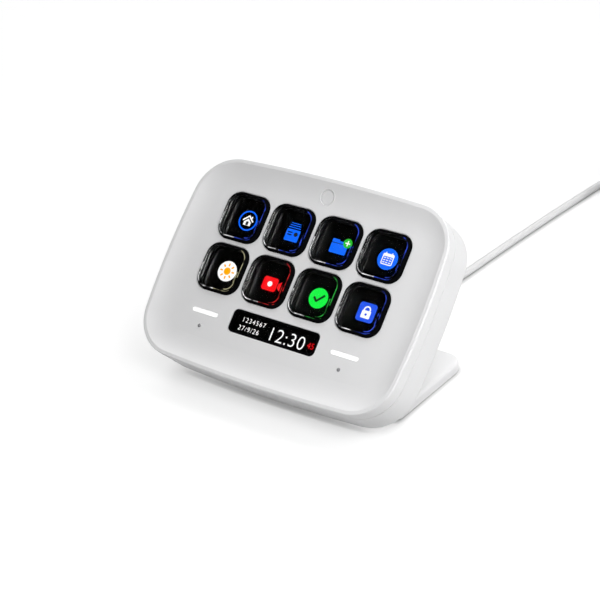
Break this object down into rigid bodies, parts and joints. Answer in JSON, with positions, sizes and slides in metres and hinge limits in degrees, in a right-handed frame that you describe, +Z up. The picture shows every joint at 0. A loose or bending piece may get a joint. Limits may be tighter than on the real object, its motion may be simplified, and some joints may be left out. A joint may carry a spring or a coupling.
{
  "type": "display key pad",
  "caption": "Desk key pad: a scooped white head with clear display keys, an info window and light bars, leaning on a bent stand with a cable and plug.",
  "frame": {"origin": "on the desk, under the middle of the bounding box of the pad and stand without the free cable", "axes": "+Z up, +X to the right as the user faces the keys, +Y away from the user"},
  "size_m": [0.1245, 0.2745, 0.0699],
  "materials": {
    "white_plastic": "satin white moulding",
    "clear_plastic": "polished clear moulding",
    "grey_rubber": "matt",
    "dark_silicone": "matt",
    "amber_film": "smooth film",
    "display_glass": "polished",
    "light_film": "smooth",
    "black_plastic": "fine grain",
    "black_foam": "soft foam",
    "milky_plastic": "milky",
    "circuit_board": "satin coat",
    "white_jacket": "smooth matt jacket",
    "screw_steel": "plated",
    "plug_steel": "plated",
    "white_tongue": "smooth"
  },
  "bodies": {
    "housing": {"front_bezel": "white_plastic", "rear_shell": "white_plastic", "stand": "white_plastic", "stand_pads": "grey_rubber", "key_membrane": "dark_silicone", "contact_sheet": "amber_film", "main_display": "display_glass", "backlight": "light_film", "panel_carrier": "black_plastic", "info_window": "display_glass", "info_display": "display_glass", "info_cushion": "black_foam", "light_guide_left": "milky_plastic", "light_guide_right": "milky_plastic", "touch_board_left": "circuit_board", "touch_board_right": "circuit_board", "status_leds": "milky_plastic", "main_board": "circuit_board", "board_chips": "black_plastic", "cable_connector": "milky_plastic", "inner_leads": "white_jacket", "display_flex": "amber_film", "flex_sockets": "black_plastic", "case_screws": "screw_steel", "board_screws": "screw_steel", "stand_screws": "screw_steel", "strain_relief": "white_jacket", "cable_run": "white_jacket", "cable_coil": "white_jacket", "usb_plug_body": "white_plastic", "usb_plug_shell": "plug_steel", "usb_plug_tongue": "white_tongue"},
    "key_1": {"key_cap_1": "clear_plastic"},
    "key_2": {"key_cap_2": "clear_plastic"},
    "key_3": {"key_cap_3": "clear_plastic"},
    "key_4": {"key_cap_4": "clear_plastic"},
    "key_5": {"key_cap_5": "clear_plastic"},
    "key_6": {"key_cap_6": "clear_plastic"},
    "key_7": {"key_cap_7": "clear_plastic"},
    "key_8": {"key_cap_8": "clear_plastic"}
  },
  "joints": [
    {"name": "key_press_1", "type": "slide", "parent": "housing", "child": "key_1", "axis": [0, 0.7254, -0.6884], "range_m": [0, 0.001], "stiffness_N_per_m": 400, "springref_m": -0.0008, "deforming": ["key_membrane"]},
    {"name": "key_press_2", "type": "slide", "parent": "housing", "child": "key_2", "axis": [0, 0.7254, -0.6884], "range_m": [0, 0.001], "stiffness_N_per_m": 400, "springref_m": -0.0008, "deforming": ["key_membrane"]},
    {"name": "key_press_3", "type": "slide", "parent": "housing", "child": "key_3", "axis": [0, 0.7254, -0.6884], "range_m": [0, 0.001], "stiffness_N_per_m": 400, "springref_m": -0.0008, "deforming": ["key_membrane"]},
    {"name": "key_press_4", "type": "slide", "parent": "housing", "child": "key_4", "axis": [0, 0.7254, -0.6884], "range_m": [0, 0.001], "stiffness_N_per_m": 400, "springref_m": -0.0008, "deforming": ["key_membrane"]},
    {"name": "key_press_5", "type": "slide", "parent": "housing", "child": "key_5", "axis": [0, 0.7254, -0.6884], "range_m": [0, 0.001], "stiffness_N_per_m": 400, "springref_m": -0.0008, "deforming": ["key_membrane"]},
    {"name": "key_press_6", "type": "slide", "parent": "housing", "child": "key_6", "axis": [0, 0.7254, -0.6884], "range_m": [0, 0.001], "stiffness_N_per_m": 400, "springref_m": -0.0008, "deforming": ["key_membrane"]},
    {"name": "key_press_7", "type": "slide", "parent": "housing", "child": "key_7", "axis": [0, 0.7254, -0.6884], "range_m": [0, 0.001], "stiffness_N_per_m": 400, "springref_m": -0.0008, "deforming": ["key_membrane"]},
    {"name": "key_press_8", "type": "slide", "parent": "housing", "child": "key_8", "axis": [0, 0.7254, -0.6884], "range_m": [0, 0.001], "stiffness_N_per_m": 400, "springref_m": -0.0008, "deforming": ["key_membrane"]}
  ]
}
